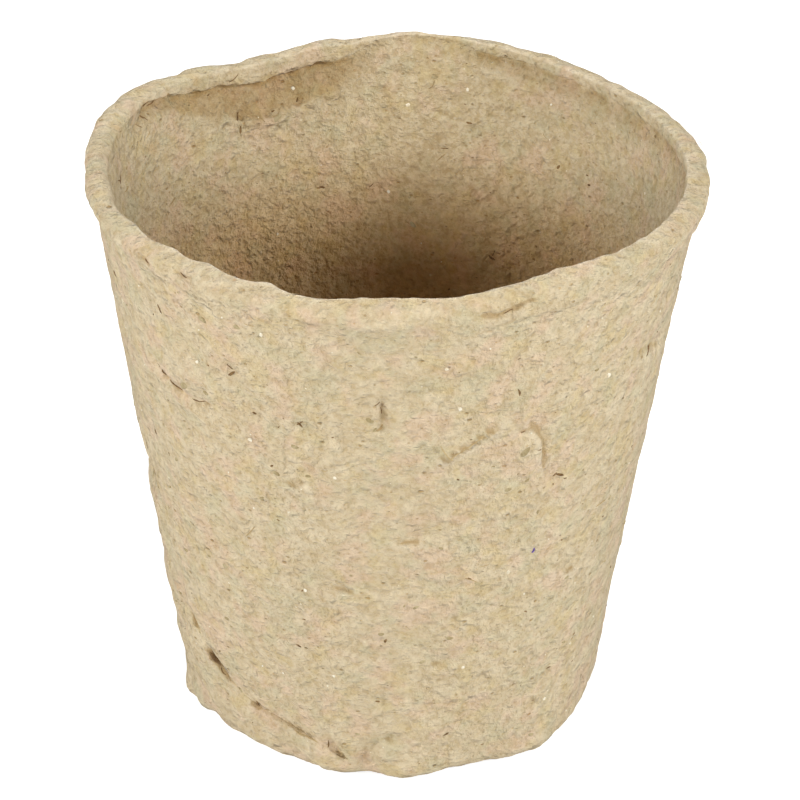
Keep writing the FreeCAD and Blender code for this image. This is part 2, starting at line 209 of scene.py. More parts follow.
# Mounds and hollows: azimuth, height, radius and how far they stand out
mounds = [
    (226, 61.4, 3.4, 0.45), (299, 53.6, 3.0, 0.45), (233, 72.4, 1.6, -0.35), (246, 66.0, 4.5, 0.2),
    (196.5, 1.0, 2.0, 1.2), (187, 5.5, 3.0, -0.5), (205, 0.8, 2.6, 1.0), (218, 0.8, 2.8, 0.75),
    (229, 0.8, 2.8, 0.3), (240, 0.8, 2.6, 0.55), (247, 0.9, 1.6, 0.6), (192, 37.4, 2.0, -0.5),
    (187, 21.0, 5.0, -0.35), (186, 10.5, 2.2, -0.4), (188, 31.5, 1.8, 0.2), (276, 33.0, 5.0, 0.16),
    (256, 44.0, 5.5, 0.14), (311, 40.0, 5.0, 0.18), (292, 20.0, 4.5, 0.2), (240, 30.0, 5.0, 0.16),
    (322, 17.0, 4.0, 0.24), (270, 5.5, 3.0, 0.3), (254, 3.5, 2.6, 0.3), (283, 9.0, 3.2, 0.22),
    (338, 52.0, 5.0, 0.16), (263, 70.5, 3.5, 0.16), (205, 55.0, 5.0, 0.18), (30, 40.0, 5.0, 0.2),
    (75, 25.0, 5.0, 0.22), (110, 55.0, 6.0, 0.2), (150, 30.0, 5.0, 0.24), (178, 62.0, 4.5, 0.2),
    (60, 60.0, 5.0, 0.16), (12, 12.0, 4.0, 0.24),
]
# Small pits: azimuth, height and depth, all of one radius
pit_radius = 0.55
pits = [
    (219, 76.5, 0.3), (229, 77.4, 0.25), (204, 70.4, 0.25), (220, 74.0, 0.3), (222, 73.7, 0.25),
    (231, 76.8, 0.25), (237, 65.2, 0.25), (239, 63.6, 0.3), (241, 60.2, 0.3), (252, 58.7, 0.3),
    (206, 47.7, 0.25), (205, 34.0, 0.3), (295, 63.8, 0.25), (297, 56.6, 0.3), (308, 47.9, 0.25),
    (337, 67.5, 0.25), (344, 20.0, 0.3), (316, 13.8, 0.35), (332, 9.0, 0.3), (268, 14.1, 0.3),
    (271, 7.6, 0.3), (286, 7.6, 0.35), (286, 33.8, 0.25), (239, 40.0, 0.25), (248, 21.8, 0.3),
    (263, 25.2, 0.25), (35, 66.0, 0.3), (70, 44.0, 0.3), (122, 33.0, 0.3), (165, 50.0, 0.3),
]
# Mounds, hollows and pits are laid out as very short creases
for middle, level, wide, stand in mounds:
    creases.append((wide, stand, [(middle, level), (middle + 0.01, level)]))
for middle, level, deep in pits:
    creases.append((pit_radius, -1.6 * deep, [(middle, level), (middle + 0.8, level + 0.1)]))

# The rolled strip at the foot: the open crease along its upper edge, with how deep the crease is there,
# and its far edge on the left and under the foot
roll_crease = [
    (198.0, 43.4, 0.3), (199.4, 41.4, 0.8), (200.6, 39.4, 0.6), (201.6, 36.6, 0.05), (203.2, 33.0, 0.1),
    (203.6, 29.2, 0.5), (205.5, 27.4, 0.1), (207, 23.5, 0.05), (209.5, 18.4, 0.1), (211.5, 16.6, 0.6),
    (212.5, 15.8, 0.1), (215.4, 13.5, 0.1), (216.5, 12.9, 0.9), (218.3, 12.1, 0.95), (220.6, 11.2, 0.55),
    (223.2, 10.0, 0.45), (224.5, 9.6, 0.25), (228, 8.7, 0.25), (230.6, 8.3, 0.3), (231.6, 8.1, 0.8),
    (233, 7.8, 0.7), (234, 7.6, 0.25), (238, 7.4, 0.3), (242, 7.1, 0.35), (243.6, 6.8, 0.5), (246, 6.3, 0.4),
    (248, 5.9, 0.6), (250, 5.6, 0.3), (253, 5.2, 0.25), (257, 4.4, 0.35), (261, 2.8, 0.2),
]
roll_far_edge = [
    (197, 42.2), (194, 39.5), (191.5, 36.0), (190, 32.0), (188.5, 28.0), (187.5, 23.0), (187.5, 17.0),
    (189, 12.0), (192, 7.5), (196, 4.0), (201, 2.0), (208, 1.1), (217, 0.8), (227, 0.6), (237, 0.5),
    (246, 0.5), (253, 0.6), (259, 0.8),
]

rng = random.Random(20)


def unit(values):
    """Values held between 0 and 1."""
    return np.clip(values, 0, 1)


def bell(away, width):
    """1 in the middle, falling off smoothly as the distance grows past a width."""
    return np.exp(-(away / width) ** 2)


def around(curve, azimuth):
    """Reads a smooth closed curve that is given by its values at some azimuths."""
    knots, values = np.array(list(curve), float), np.array(list(curve.values()), float)
    knots = np.concatenate([knots[-2:] - 360, knots, knots[:3] + 360])
    values = np.concatenate([values[-2:], values, values[:3]])
    slopes = np.gradient(values, knots)
    azimuth = np.asarray(azimuth, float) % 360
    at = np.clip(np.searchsorted(knots, azimuth, side="right") - 1, 0, len(knots) - 2)
    gap = knots[at + 1] - knots[at]
    t = (azimuth - knots[at]) / gap
    start = (2 * t ** 3 - 3 * t ** 2 + 1) * values[at] + (t ** 3 - 2 * t ** 2 + t) * gap * slopes[at]
    return start + (3 * t ** 2 - 2 * t ** 3) * values[at + 1] + (t ** 3 - t ** 2) * gap * slopes[at + 1]


def grain(points, size, seed):
    """Smooth random values from about -1 to 1 at points, with lumps of the given size."""
    shift = Vector((seed * 17.3, seed * 5.1, seed * 29.7))
    values = [noise.noise(Vector(point) + shift) for point in points.reshape(-1, 3) / size]
    return np.array(values).reshape(points.shape[:-1])


def read_along(path, at):
    """Reads a path of tuples between its points, at places counted in points."""
    path = np.array(path, float)
    return np.stack([np.interp(at, np.arange(len(path)), numbers) for numbers in path.T], 1)


def mean_radius(height):
    """Radius of the wall at a height, without its waves."""
    return mean_foot_radius + wall_flare * height / seat_height


def round_points(radius, height, azimuth):
    """Points from cylindrical measures."""
    angle = np.radians(azimuth)
    return np.stack([radius * np.cos(angle), radius * np.sin(angle), height + 0 * angle], -1)


def wall_radius(azimuth, height):
    """Straight outside of the wall, with the wavy edge of the foot."""
    low, seat = around(foot_line, azimuth), around(seat_line, azimuth)
    edge = (around(foot_edge, azimuth) - low) * bell(height, foot_fade)
    unstepped = unit(1 - around(step_crispness, azimuth))
    widening = widening_share * unstepped * np.clip(around(lip_outer, azimuth) - seat, 0, None)
    widening = widening * bell(height - widening_height, widening_reach)
    return low + (seat - low) * (height / seat_height) + edge + widening


def outside_radius(azimuth, height):
    """Outside of the wall with the rounded corner of the foot."""
    corner = unit(1 - height / foot_rounding)
    return wall_radius(azimuth, height) - foot_rounding * (1 - np.sqrt(1 - corner ** 2))


def lip_section(azimuth):
    """Rows over the lip, from the wall outside over the crown to the lower edge of the fold inside."""
    outer, inner, top = (around(curve, azimuth) for curve in (lip_outer, lip_inner, lip_top))
    crisp, step = (unit(around(curve, azimuth)) for curve in (inner_crispness, step_crispness))
    # The lower edge of the fold is torn, so it wanders up and down
    ring = round_points(38.0, 0, azimuth)
    torn = 0.4 * grain(ring, 2.2, 3) + 0.32 * grain(ring, 1.0, 4)
    inner = inner + (0.2 * grain(ring, 3.4, 31) + 0.16 * grain(ring, 1.5, 32)) * (0.4 + 0.6 * crisp)
    outer = outer + 0.12 * grain(ring, 2.4, 33)
    top = top + 0.1 * grain(ring, 2.6, 34)
    undercut = np.clip(around(fold_undercut, azimuth), 0, None)
    drop = np.clip(around(fold_drop, azimuth), 0.35, None) + torn * unit(undercut * 1.6)

    def wall(height):
        return wall_radius(azimuth, height)

    def soft_or_crisp(share, soft, hard):
        return tuple(a + (b - a) * share for a, b in zip(soft, hard))

    # The lip tapers back to the wall where it has no flare
    flare = outer - wall(75)
    points = [
        (wall(outside_end), outside_end),
        (wall(73.4), 73.4),
        soft_or_crisp(step, (wall(74.5) + 0.1 * flare, 74.5), (wall(75.1), 75.1)),
        soft_or_crisp(step, (wall(75.4) + 0.42 * flare, 75.4), (wall(75.15) + 0.75 * flare, 75.2)),
        soft_or_crisp(step, (outer - 0.16 * flare, top - 1.9), (outer - 0.08 * flare, 75.7)),
        soft_or_crisp(crisp, (outer, top - 1.35), (outer - 0.1, top - 1.3)),
        soft_or_crisp(crisp, (outer - 0.35, top - 0.5), (outer - 0.55, top - 0.7)),
        soft_or_crisp(crisp, ((inner + outer) / 2, top), (inner * 0.65 + outer * 0.35, top - 0.22)),
        soft_or_crisp(crisp, (inner + 0.5, top - 0.3), (inner + 0.2, top - 0.03)),
        soft_or_crisp(crisp, (inner + 0.08, top - 0.85), (inner, top - 0.2)),
        (inner + 0.02, top - drop),
        (inner + 0.05 + undercut, top - drop - 0.25),
    ]
    measures = np.array([[np.broadcast_to(measure, azimuth.shape) for measure in point] for point in points])
    rows = []
    last = len(points) - 1
    for span in range(last):
        four = measures[[max(span - 1, 0), span, span + 1, min(span + 2, last)]]
        for step_in in range(lip_span_rows):
            t = step_in / lip_span_rows
            weights = (
                (-t ** 3 + 2 * t ** 2 - t) / 2, (3 * t ** 3 - 5 * t ** 2 + 2) / 2,
                (-3 * t ** 3 + 4 * t ** 2 + t) / 2, (t ** 3 - t ** 2) / 2,
            )
            rows.append(sum(weight * point for weight, point in zip(weights, four)))
    return rows + [measures[last]]


def inside_rows(azimuth, start):
    """Rows down the inside of the wall, from the fold to the corner of the floor."""
    start_radius, start_height = start
    length = around(recess_length, azimuth)
    ridge = np.clip(around(recess_ridge, azimuth), 0, None)
    offset = start_radius - (wall_radius(azimuth, start_height) - wall_thickness)
    rows = []
    ends = (start_height, *inside_ends, floor_top + cavity_rounding)
    for high, low, count in zip(ends, ends[1:], inside_row_counts):
        for n in range(1, count + 1):
            height = high + (low - high) * (n / count) + 0 * azimuth
            below = start_height - height
            fade = 0.5 + 0.5 * np.cos(np.pi * unit(below / length))
            hump = ridge * bell(below - length, 0.7)
            rows.append((wall_radius(azimuth, height) - wall_thickness + offset * fade - hump, height))
    return rows


def pot_section(azimuth):
    """The whole closed section of the pot at each azimuth: zone, radius and height of every row."""
    flat = 0 * azimuth
    rows = []

    def add(zone, radius, height):
        rows.append((zone, radius + flat, height + flat))

    for n in range(8):
        height = foot_rounding * (1 - math.cos(math.pi / 2 * n / 8)) + flat
        add("corner", outside_radius(azimuth, height), height)
    for n in range(outside_rows):
        height = foot_rounding + (outside_end - foot_rounding) * n / outside_rows + flat
        add("outside", outside_radius(azimuth, height), height)
    lip = lip_section(azimuth)
    for radius, height in lip:
        add("lip", radius, height)
    inner = inside_rows(azimuth, lip[-1])
    for radius, height in inner:
        add("inside", radius, height)
    for n in range(1, 5):
        angle = math.pi / 2 * n / 4
        height = floor_top + cavity_rounding * (1 - math.sin(angle))
        add("inside", inner[-1][0] - cavity_rounding * (1 - math.cos(angle)), height)
    floor_edge = rows[-1][1]
    for n in range(1, 7):
        add("floor", floor_edge + (drain_radius + 0.3 - floor_edge) * n / 6, floor_top)
    add("floor", drain_radius, floor_top - 0.4)
    add("floor", drain_radius, (floor_top + floor_lift) / 2)
    add("under", drain_radius + 0.1, floor_lift + 0.1)
    ring_inside = wall_radius(azimuth, flat) - foot_rounding - ring_width
    for n in range(1, 6):
        add("under", drain_radius + 0.6 + (ring_inside - 1.2 - drain_radius - 0.6) * n / 5, floor_lift)
    add("under", ring_inside - 0.4, floor_lift * 0.45)
    for n in range(3):
        add("ring", ring_inside + (ring_width - 0.6) * (n + 0.1) / 3, 0)
    return rows


def pick(*pieces):
    """Leaves edit mode and selects these pieces alone, with the first one active."""
    if bpy.context.mode != "OBJECT":
        bpy.ops.object.mode_set(mode="OBJECT")
    bpy.ops.object.select_all(action="DESELECT")
    for piece in pieces:
        piece.select_set(True)
    if pieces:
        bpy.context.view_layer.objects.active = pieces[0]


def face_outward(piece):
    """Turns the faces of a piece outward."""
    pick(piece)
    bpy.ops.object.mode_set(mode="EDIT")
    bpy.ops.mesh.select_all(action="SELECT")
    bpy.ops.mesh.normals_make_consistent(inside=False)
    bpy.ops.object.mode_set(mode="OBJECT")


def shade_smooth(piece, angle=60):
    """Shades a piece smooth, apart from edges sharper than an angle in degrees."""
    pick(piece)
    bpy.ops.object.shade_smooth_by_angle(angle=math.radians(angle))
    pick()


def turn_section(name, section, steps):
    """Draws a closed section of (radius, height) vertex by vertex, and spins it round the axis."""
    pick()
    radius, height = section[0]
    bpy.ops.mesh.primitive_plane_add(size=mm, location=(radius * mm, 0, height * mm))
    piece = bpy.context.object
    piece.name = name
    bpy.ops.object.transform_apply(location=True, rotation=False, scale=False)
    bpy.ops.object.mode_set(mode="EDIT")
    bpy.ops.mesh.select_all(action="SELECT")
    bpy.ops.mesh.merge(type="CENTER")
    for (r0, z0), (r1, z1) in zip(section, section[1:] + section[:1]):
        move = ((r1 - r0) * mm, 0, (z1 - z0) * mm)
        bpy.ops.mesh.extrude_vertices_move(TRANSFORM_OT_translate={"value": move})
    bpy.ops.mesh.select_all(action="SELECT")
    bpy.ops.mesh.remove_doubles(threshold=merge_distance)
    bpy.ops.mesh.spin(steps=steps, angle=2 * math.pi, center=(0, 0, 0), axis=(0, 0, 1))
    bpy.ops.mesh.select_all(action="SELECT")
    bpy.ops.mesh.remove_doubles(threshold=merge_distance)
    face_outward(piece)
    return piece


def tube(sides, radius, length, ends, cuts):
    """A closed cylinder along Z, in millimetres, with cuts round it."""
    pick()
    bpy.ops.mesh.primitive_cylinder_add(
        vertices=sides, radius=radius * mm, depth=length * mm, end_fill_type=ends,
    )
    piece = bpy.context.object
    bpy.ops.object.mode_set(mode="EDIT")
    mesh = bmesh.from_edit_mesh(piece.data)
    for edge in mesh.edges:
        a, b = edge.verts
        edge.select_set(abs(a.co.z - b.co.z) > length / 2 * mm)
    bmesh.update_edit_mesh(piece.data)
    bpy.ops.mesh.select_mode(type="EDGE")
    bpy.ops.mesh.subdivide(number_cuts=cuts)
    bpy.ops.object.mode_set(mode="OBJECT")
    return piece


def path_distance(azimuth, height, path):
    """Distance on the wall from points to a path of (azimuth, height, ...), place along it, and side."""
    scale = np.pi / 180 * mean_radius(height)
    best = np.full(np.shape(azimuth), 1e9)
    along, side = np.zeros(np.shape(azimuth)), np.zeros(np.shape(azimuth))
    for index, (start, end) in enumerate(zip(path, path[1:])):
        px, pz = ((azimuth - start[0] + 180) % 360 - 180) * scale, height - start[1]
        bx, bz = (end[0] - start[0]) * scale, end[1] - start[1]
        t = unit((px * bx + pz * bz) / (bx ** 2 + bz ** 2))
        away = np.hypot(px - t * bx, pz - t * bz)
        nearer = away < best
        best = np.where(nearer, away, best)
        along = np.where(nearer, index + t, along)
        side = np.where(nearer, np.sign(px * bz - pz * bx), side)
    return best, along, side


def crease_relief(azimuth, height, lines):
    """How far a set of creases stands out at each point."""
    relief = np.zeros(azimuth.shape)
    for half_width, stand, path in lines:
        away, _, _ = path_distance(azimuth, height, path)
        relief += stand * bell(away, half_width)
    return relief


def wall_relief(azimuth, height):
    """How far the outside of the wall stands out at each point, apart from its grain."""
    relief = crease_relief(azimuth, height, creases)
    for width, stand, path in ledges:
        away, _, side = path_distance(azimuth, height, path)
        relief -= stand * side * np.exp(-(away / width) ** 1.3)
    return relief


def ledge_sides(azimuth, height):
    """How near a point is to the foot of a ledge, and to its raised edge, from 0 to 1."""
    foot, edge = np.zeros(azimuth.shape), np.zeros(azimuth.shape)
    for _, stand, path in ledges:
        away, _, side = path_distance(azimuth, height, path)
        foot = np.maximum(foot, stand / 0.45 * bell(away - 0.1 * side, 0.3))
        edge = np.maximum(edge, stand / 0.45 * bell(away * side + 0.75, 0.5))
    return foot, edge


def crease_depth(azimuth, height, half_width=0.5):
    """How deep the crease along the rolled strip cuts into the wall."""
    away, along, _ = path_distance(azimuth, height, roll_crease)
    depth = np.interp(along, np.arange(len(roll_crease)), [point[2] for point in roll_crease])
    return depth * np.exp(-(away / half_width) ** 4)


def give_attribute(piece, name, values):
    """A number at every vertex, for the finish to read."""
    attribute = piece.data.attributes.new(name, "FLOAT", "POINT")
    attribute.data.foreach_set("value", np.ascontiguousarray(values, np.float32))


def read_points(piece):
    """The vertices of a piece, in metres."""
    points = np.zeros(len(piece.data.vertices) * 3)
    piece.data.vertices.foreach_get("co", points)
    return points.reshape(-1, 3)


def write_points(piece, points):
    """Moves the vertices of a piece to points in metres."""
    piece.data.vertices.foreach_set("co", np.ascontiguousarray(points, np.float32).ravel())
    piece.data.update()


def model_pot_body():
    """The moulding: a section spun round, then pressed out of true as pulp is."""
    step = 360 / round_steps
    plain = [(float(radius[0]), float(height[0])) for _, radius, height in pot_section(np.array([180.0]))]
    body = turn_section("pot_body", plain, round_steps)

    # The row and the column of the section that every vertex belongs to
    turned = read_points(body) / mm
    azimuth = (np.degrees(np.arctan2(turned[:, 1], turned[:, 0])) + 0.01 * step) % 360
    column = np.rint(azimuth / step).astype(int) % round_steps
    measures = np.stack([np.hypot(turned[:, 0], turned[:, 1]), turned[:, 2]], 1)
    targets = np.array(plain)
    row = np.concatenate([
        np.argmin(((part[:, None, :] - targets[None]) ** 2).sum(2), 1)
        for part in np.array_split(measures, 40)
    ])

    columns = np.arange(round_steps) * step
    zones, radii, heights = (np.array(part) for part in zip(*pot_section(columns)))
    azimuths = columns[None, :] + 0 * radii
    grid = round_points(radii, heights, azimuths)
    along = np.roll(grid, -1, 0) - np.roll(grid, 1, 0)
    round_the_pot = np.roll(grid, -1, 1) - np.roll(grid, 1, 1)
    normals = np.cross(round_the_pot, along)
    normals /= np.linalg.norm(normals, axis=2, keepdims=True) + 1e-12

    def rows_of(*names):
        return np.isin(zones, names)[:, None] * np.ones_like(radii)

    is_outside, is_lip = rows_of("outside", "corner"), rows_of("lip")
    is_inside, is_ring = rows_of("inside", "floor"), rows_of("ring")

    # The outer part of the lip belongs to the outside, the inner part to the inside
    lip_rows = np.flatnonzero(zones == "lip")
    over_lip = np.zeros(len(zones))
    over_lip[lip_rows] = np.arange(len(lip_rows)) / lip_span_rows

    def on_lip(values):
        return np.where(zones == "lip", values, 0)[:, None]

    outer_share = on_lip(unit(6.5 - over_lip)) + is_outside
    inner_share = on_lip(unit(over_lip - 8)) + is_inside
    features = wall_relief(azimuths, heights) * outer_share
    inner_features = crease_relief(azimuths, heights, inner_creases) * inner_share
    crease = crease_depth(azimuths, heights) * is_outside
    # Under the fold the wall comes back, down to a low ridge; these masks mark that recess and the fold's
    # torn lower edge for painted shade
    undercut = np.clip(around(fold_undercut, columns), 0, None)[None, :]
    below = heights[lip_rows[-1]][None, :] - heights
    ragged = 0.5 * grain(grid, 1.3, 41)
    recess_shade = unit(around(recess_length, columns)[None, :] + 0.2 + ragged - below)
    recess_shade = unit(undercut / 0.7) * recess_shade * is_inside
    fold_edge = unit(undercut / 0.6 - 0.2) * bell(below - 0.4 - ragged * 0.5, 0.6)
    fold_edge = fold_edge * (is_inside + on_lip(over_lip > 10.1))
    fold_edge = fold_edge * unit(0.55 + 1.5 * grain(grid, 1.6, 42))
    broken = np.clip(0.75 + 1.3 * grain(grid, 1.1, 43), 0.2, 1)
    lower = bell(heights, 12)
    broad, lumps = grain(grid, 9.0, 5), grain(grid, 3.6, 6)
    small, fine = grain(grid, 1.7, 7), grain(grid, 1.0, 8)
    outer_grain = 0.17 * broad + (0.15 + 0.14 * lower) * lumps + (0.12 + 0.06 * lower) * small + 0.09 * fine
    lip_grain = 0.16 * lumps + 0.12 * small + 0.05 * fine
    inner_grain = 0.15 * broad + 0.1 * lumps + 0.09 * small + 0.07 * fine
    relief = (
        is_outside * (outer_grain + features - crease)
        + is_lip * (lip_grain + 0.8 * features + inner_features)
        + is_inside * (inner_grain + inner_features)
        + (1 - is_outside - is_lip - is_inside) * (1 - is_ring) * inner_grain
        + is_ring * 0.03 * small
    )
    # The zones run into each other
    for _ in range(2):
        relief = 0.8 * relief + 0.1 * (np.roll(relief, 1, 0) + np.roll(relief, -1, 0))
    grid = grid + normals * relief[:, :, None]
    grid[:, :, 2] = np.clip(grid[:, :, 2], 0, None)
    write_points(body, grid[row, column] * mm)

    # What the finish reads: the inner side, painted shade in cracks, creases and hollows and on the wall
    # under the fold, and painted highlights on the lip's inner edge and on raised ledge edges
    inside = on_lip(unit((over_lip - 8.5) / 2)) + is_inside
    crack_shade = 0.75 * crease_depth(azimuths, heights, 0.3) + 0.34 * crease_depth(azimuths, heights, 0.8)
    ledge_shade, ledge_highlight = ledge_sides(azimuths, heights)
    hollow_shade = unit(-features - inner_features - 0.2) + 1.1 * ledge_shade * outer_share
    crevice_shade = crack_shade * is_outside * broken + np.clip(0.95 * hollow_shade * broken, 0, 0.46) + 0.85 * fold_edge
    # Painted highlight along the lip's inner edge, broken up, and on the raised edges of ledges
    edge_highlight = on_lip(bell(over_lip - 8.25, 0.5))
    edge_highlight = edge_highlight * unit(around(inner_crispness, columns))[None, :]
    edge_highlight = edge_highlight * unit(0.8 + 1.2 * grain(grid, 1.4, 44))
    edge_highlight = edge_highlight + 0.55 * ledge_highlight * outer_share
    give_attribute(body, "inside", inside[row, column])
    give_attribute(body, "crevice_shade", unit(crevice_shade)[row, column])
    give_attribute(body, "recess_shade", recess_shade[row, column])
    give_attribute(body, "edge_highlight", edge_highlight[row, column])
    shade_smooth(body)
    return body


def model_foot_strip():
    """The rolled strip at the foot: a flat tube laid along the wall and under the corner of the foot."""
    strip = tube(36, 1, 2, "TRIFAN", 149)
    strip.name = "foot_strip"
    points = read_points(strip) / mm
    along = (points[:, 2] + 1) / 2
    angle = np.arctan2(points[:, 1], points[:, 0])
    on_axis = np.hypot(points[:, 0], points[:, 1]) < 0.5

    def edge_line(path):
        even = read_along(path, np.linspace(0, len(path) - 1, 400))
        return read_along(even, along * 399).T

    near, far = edge_line([point[:2] for point in roll_crease]), edge_line(roll_far_edge)
    across = np.where(on_axis, 0.5, (1 - np.cos(angle)) / 2)
    wander = grain(np.stack([along * 70, 0 * along, 0 * along], 1), 2.5, 12)
    across = across + (1 - across) * 0.05 * wander
    azimuth, height = near * (1 - across) + far * across
    ends = unit(np.minimum(along, 1 - along) / 0.06)
    swell = np.sqrt(ends * (2 - ends))
    bulk = np.interp(along, [0, 0.16, 0.28, 0.5, 0.62, 0.8, 1], [0.15, 0.2, 0.5, 0.75, 1.05, 0.95, 0.5])
    lift = np.abs(np.sin(angle)) ** 0.6
    upper = np.sin(angle) > 0
    fade = 1 - 0.9 * unit(across) ** 2.5
    # Where the crease is shut, the strip runs out into the wall
    open_depth = read_along(roll_crease, along * (len(roll_crease) - 1))[:, 2]
    shut = unit(1 - open_depth / 0.5)
    slope = unit(across / 0.24)
    slope = slope * slope * (3 - 2 * slope)
    rise = lift * (1 - shut) + np.minimum(lift, slope) * shut
    stand = np.where(upper, bulk * rise * fade, -0.9 * lift) * swell - 0.15 - 0.3 * (1 - swell)
    stand = np.where(on_axis, -0.5, stand)

    def on_wall(azimuth, height):
        return round_points(outside_radius(azimuth, height), height, azimuth)

    here = on_wall(azimuth, height)
    outward = np.cross(on_wall(azimuth + 0.5, height) - here, on_wall(azimuth, height + 0.15) - here)
    outward /= np.linalg.norm(outward, axis=1, keepdims=True)
    rough = 0.36 * grain(here, 4.0, 13) + 0.3 * grain(here, 1.9, 14) + 0.13 * grain(here, 1.0, 15)
    rough = rough * swell + wall_relief(azimuth, height)
    here = here + outward * (stand + rough * upper)[:, None]
    here[:, 2] = np.clip(here[:, 2], 0.05, None)
    write_points(strip, here * mm)
    face_outward(strip)
    give_attribute(strip, "inside", np.zeros(len(here)))
    # Painted shade along the open crease at the strip's upper edge
    give_attribute(strip, "crevice_shade", unit(0.9 - across / 0.06) * unit(open_depth))
    shade_smooth(strip, 75)
    return strip


class Surface:
    """Finds where things lie on the moulding and on the strip."""

    def __init__(self, *pieces):
        self.trees = [
            BVHTree.FromPolygons(
                [vertex.co.copy() for vertex in piece.data.vertices],
                [tuple(face.vertices) for face in piece.data.polygons],
            )
            for piece in pieces
        ]

    def at(self, azimuth, height, inside):
        """Point on the surface in millimetres, and the direction that leaves it."""
        angle = math.radians(azimuth)
        outward = Vector((math.cos(angle), math.sin(angle), 0))
        facing = -outward if inside else outward
        hits = []
        while not hits:
            start = Vector((0, 0, height * mm)) + (outward * 0 if inside else outward * (60 * mm))
            hits = [tree.ray_cast(start, -facing) for tree in self.trees]
            hits = [(distance, place, normal) for place, normal, _, distance in hits if place is not None]
            # Above the lip there is nothing to meet
            height -= 0.3
        _, place, normal = min(hits, key=lambda hit: hit[0])
        lean = Vector((0, 0, 0.14 if inside else -0.14))
        return place / mm, (normal * 0.5 + (facing + lean).normalized() * 0.5).normalized()


def islands(node):
    """Every solid of a CAD node: azimuth and height of its middle, if it is in the cavity, its length."""
    mesh = bmesh.new()
    mesh.from_mesh(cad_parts[node].data)
    bmesh.ops.remove_doubles(mesh, verts=mesh.verts, dist=0.001 * mm)
    seen, places = set(), []
    for start in mesh.verts:
        if start in seen:
            continue
        queue, island = [start], []
        seen.add(start)
        while queue:
            vertex = queue.pop()
            island.append(vertex.co.copy())
            for edge in vertex.link_edges:
                other = edge.other_vert(vertex)
                if other not in seen:
                    seen.add(other)
                    queue.append(other)
        low, high = (Vector([end(co[k] for co in island) for k in range(3)]) for end in (min, max))
        middle = (low + high) / 2 / mm
        azimuth = math.degrees(math.atan2(middle.y, middle.x)) % 360
        wall = float(wall_radius(np.array([azimuth]), np.array([middle.z]))[0])
        inside = math.hypot(middle.x, middle.y) < wall - wall_thickness / 2
        places.append((azimuth, middle.z, inside, (high - low).length / mm))
    mesh.free()
    return places


def grit_stone():
    """A small broken stone, one millimetre across."""
    pick()
    bpy.ops.mesh.primitive_ico_sphere_add(subdivisions=1, radius=0.5 * mm)
    stone = bpy.context.object
    points = read_points(stone)
    shaker = random.Random(4)
    write_points(stone, points * np.array([[shaker.uniform(0.7, 1.1)] for _ in points]))
    return stone


def pulp_mound():
    """A low crumb, one millimetre across, with a few more faces for its soft outline."""
    pick()
    bpy.ops.mesh.primitive_ico_sphere_add(subdivisions=2, radius=0.5 * mm)
    mound = bpy.context.object
    points = read_points(mound)
    points *= (1 + 0.25 * grain(points / mm, 0.45, 21))[:, None]
    write_points(mound, points)
    return mound


def stick(sides, rings, taper):
    """A stick along X, one millimetre long and one thick, with tapered ends."""
    piece = tube(sides, 0.5, 1, "NGON", rings)
    points = read_points(piece) / mm
    thin = 1 - taper * np.abs(points[:, 2] * 2) ** 3
    write_points(piece, np.stack([points[:, 2], points[:, 0] * thin, points[:, 1] * thin], 1) * mm)
    return piece


def scatter(name, master, places):
    """Copies of one shape, each put down on the surface, joined to one piece.

    A place is azimuth, height, inside, turn, size along, across and deep, and how far its middle stands out.
    """
    base = read_points(master) / mm
    laid = []
    for index, (azimuth, height, inside, turn, size, stand) in enumerate(places):
        middle, leaving = surface.at(azimuth, height, inside)
        level = Vector((0, 0, 1)).cross(leaving).normalized()
        turned = math.radians(turn)
        first = level * math.cos(turned) + leaving.cross(level) * math.sin(turned)
        shape = base * np.array(size)
        shape += 0.12 * min(size) * np.stack([grain(base, 0.5, index * 3 + k) for k in range(3)], 1)
        bend = rng.uniform(-0.1, 0.1) * size[0]
        shape[:, 1] += bend * (1 - (2 * base[:, 0]) ** 2)
        shape[:, 2] += stand - shape[:, 0] ** 2 / bit_bend * (-1 if inside else 1)
        laid.append(np.array(middle) + shape @ np.array([first, leaving.cross(first), leaving]))
    return join(name, master, laid)


def lay_strands(name, master, lines):
    """Copies of one stick, each bent along its own line over the surface, joined to one piece.

    A line is azimuth, height, inside, turn, length, radius, curl and how far its middle lifts off.
    """
    base = read_points(master) / mm
    steps = 10
    laid = []
    for azimuth, height, inside, turn, length, radius, curl, lift in lines:
        heading = math.radians(turn)
        track = [np.array([0.0, 0.0])]
        for _ in range(steps):
            track.append(track[-1] + length / steps * np.array([math.cos(heading), math.sin(heading)]))
            heading += curl / steps
        middle = track[steps // 2]
        places = []
        for index, (level, rise) in enumerate(track):
            turned = math.degrees((level - middle[0]) / mean_radius(height))
            tall = min(max(height + rise - middle[1], 1.0), highest_strand)
            place, leaving = surface.at(azimuth + (-turned if inside else turned), tall, inside)
            share = index / steps
            raised = radius * 0.35 + lift * math.sin(math.pi * share) - 1.3 * radius * abs(2 * share - 1) ** 4
            places.append(np.array(place + leaving * raised))
        at = (base[:, 0] + 0.5) * steps
        tangent = read_along(np.gradient(np.array(places), axis=0), at)
        tangent /= np.linalg.norm(tangent, axis=1, keepdims=True)
        across = np.cross(tangent, np.array([0.31, 0.17, 0.93]))
        across /= np.linalg.norm(across, axis=1, keepdims=True)
        other = np.cross(tangent, across)
        shape = read_along(places, at) + across * base[:, 1:2] * 2 * radius
        laid.append(shape + other * base[:, 2:3] * 2 * radius)
    return join(name, master, laid)


